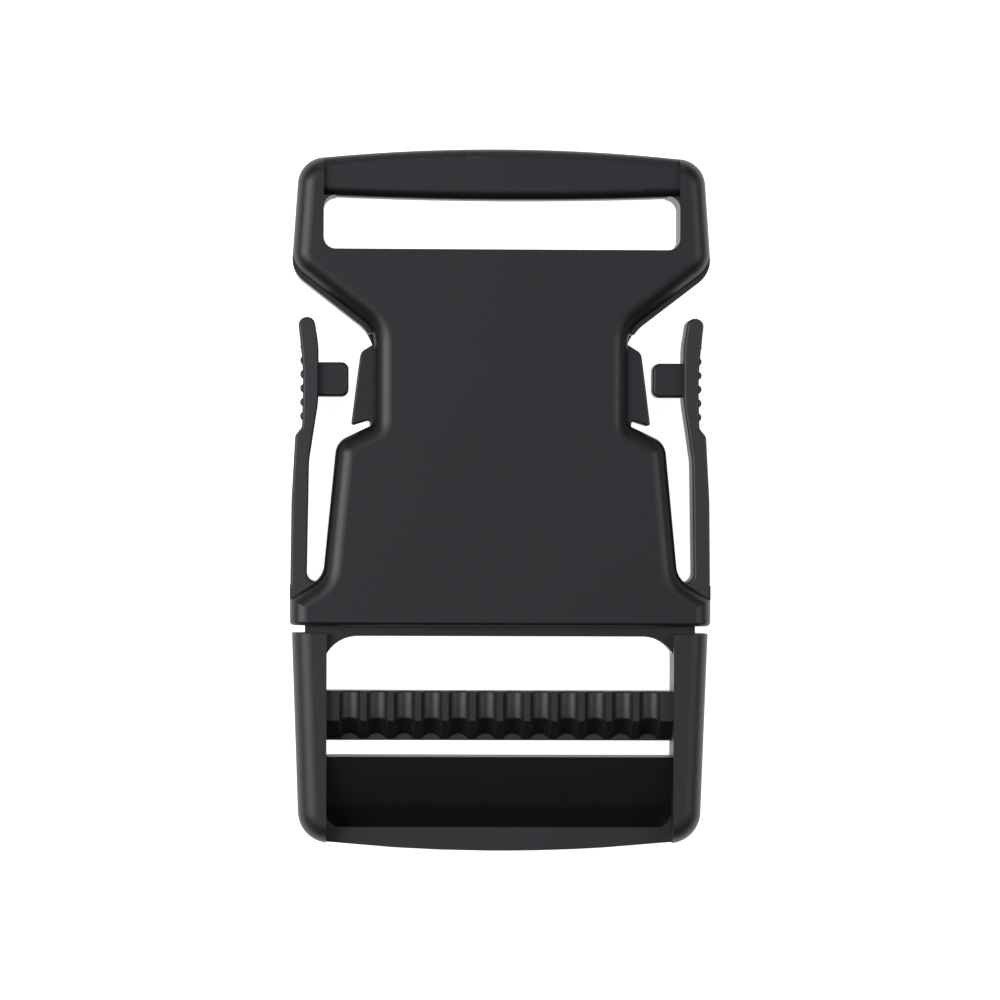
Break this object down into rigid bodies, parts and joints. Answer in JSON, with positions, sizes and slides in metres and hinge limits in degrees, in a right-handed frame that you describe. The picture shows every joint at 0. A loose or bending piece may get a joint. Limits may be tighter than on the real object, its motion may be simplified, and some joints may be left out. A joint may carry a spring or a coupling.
{
  "type": "side release buckle",
  "caption": "Latched side-release buckle with outside squeeze levers, a sewn-loop strap bar and a ladder-lock webbing adjuster.",
  "frame": {"origin": "under the middle of the latched buckle, on the plane of its back face", "axes": "+X across the buckle to the right seen from the front, +Y along it from the plug to the socket's strap bar, +Z from the back to the front face"},
  "size_m": [0.0474, 0.0792, 0.009],
  "materials": {
    "socket_plastic": "fine spark-eroded moulded texture, black acetal",
    "plug_plastic": "fine spark-eroded moulded texture, black acetal"
  },
  "bodies": {
    "socket": {"socket_front_shell": "socket_plastic", "socket_back_shell": "socket_plastic", "socket_wall_left": "socket_plastic", "socket_wall_right": "socket_plastic", "socket_tail_block": "socket_plastic", "socket_wing_left": "socket_plastic", "socket_wing_right": "socket_plastic", "socket_strap_bar": "socket_plastic"},
    "lever_left": {"squeeze_lever_left": "socket_plastic", "pusher_tab_left": "socket_plastic"},
    "lever_right": {"squeeze_lever_right": "socket_plastic", "pusher_tab_right": "socket_plastic"},
    "plug": {"plug_crossbar": "plug_plastic", "plug_rail_left": "plug_plastic", "plug_rail_right": "plug_plastic", "gripping_bar": "plug_plastic", "tilt_bar": "plug_plastic", "guide_tongue": "plug_plastic"},
    "prong_left": {"latch_prong_left": "plug_plastic"},
    "prong_right": {"latch_prong_right": "plug_plastic"}
  },
  "joints": [
    {"name": "lever_left_squeeze", "type": "hinge", "parent": "socket", "child": "lever_left", "pos_m": [-0.02263, -0.00919, 0.0045], "axis": [0, 0, -1], "range_deg": [0, 7.5], "stiffness_Nm_per_rad": 0.05},
    {"name": "lever_right_squeeze", "type": "hinge", "parent": "socket", "child": "lever_right", "pos_m": [0.02263, -0.00919, 0.0045], "axis": [0, 0, 1], "range_deg": [0, 7.5], "stiffness_Nm_per_rad": 0.05},
    {"name": "plug_slide", "type": "slide", "parent": "socket", "child": "plug", "axis": [0, -1, 0], "range_m": [-0.0008, 0.036], "deforming": ["latch_prong_left", "latch_prong_right"]},
    {"name": "prong_left_flex", "type": "hinge", "parent": "plug", "child": "prong_left", "pos_m": [-0.0135, -0.01255, 0.0045], "axis": [0, 0, -1], "range_deg": [0, 5.5], "stiffness_Nm_per_rad": 0.05},
    {"name": "prong_right_flex", "type": "hinge", "parent": "plug", "child": "prong_right", "pos_m": [0.0135, -0.01255, 0.0045], "axis": [0, 0, 1], "range_deg": [0, 5.5], "stiffness_Nm_per_rad": 0.05}
  ],
  "couplings": [
    {"joint": "prong_left_flex", "follows": "lever_left_squeeze", "ratio": 0.7333},
    {"joint": "prong_right_flex", "follows": "lever_right_squeeze", "ratio": 0.7333}
  ]
}
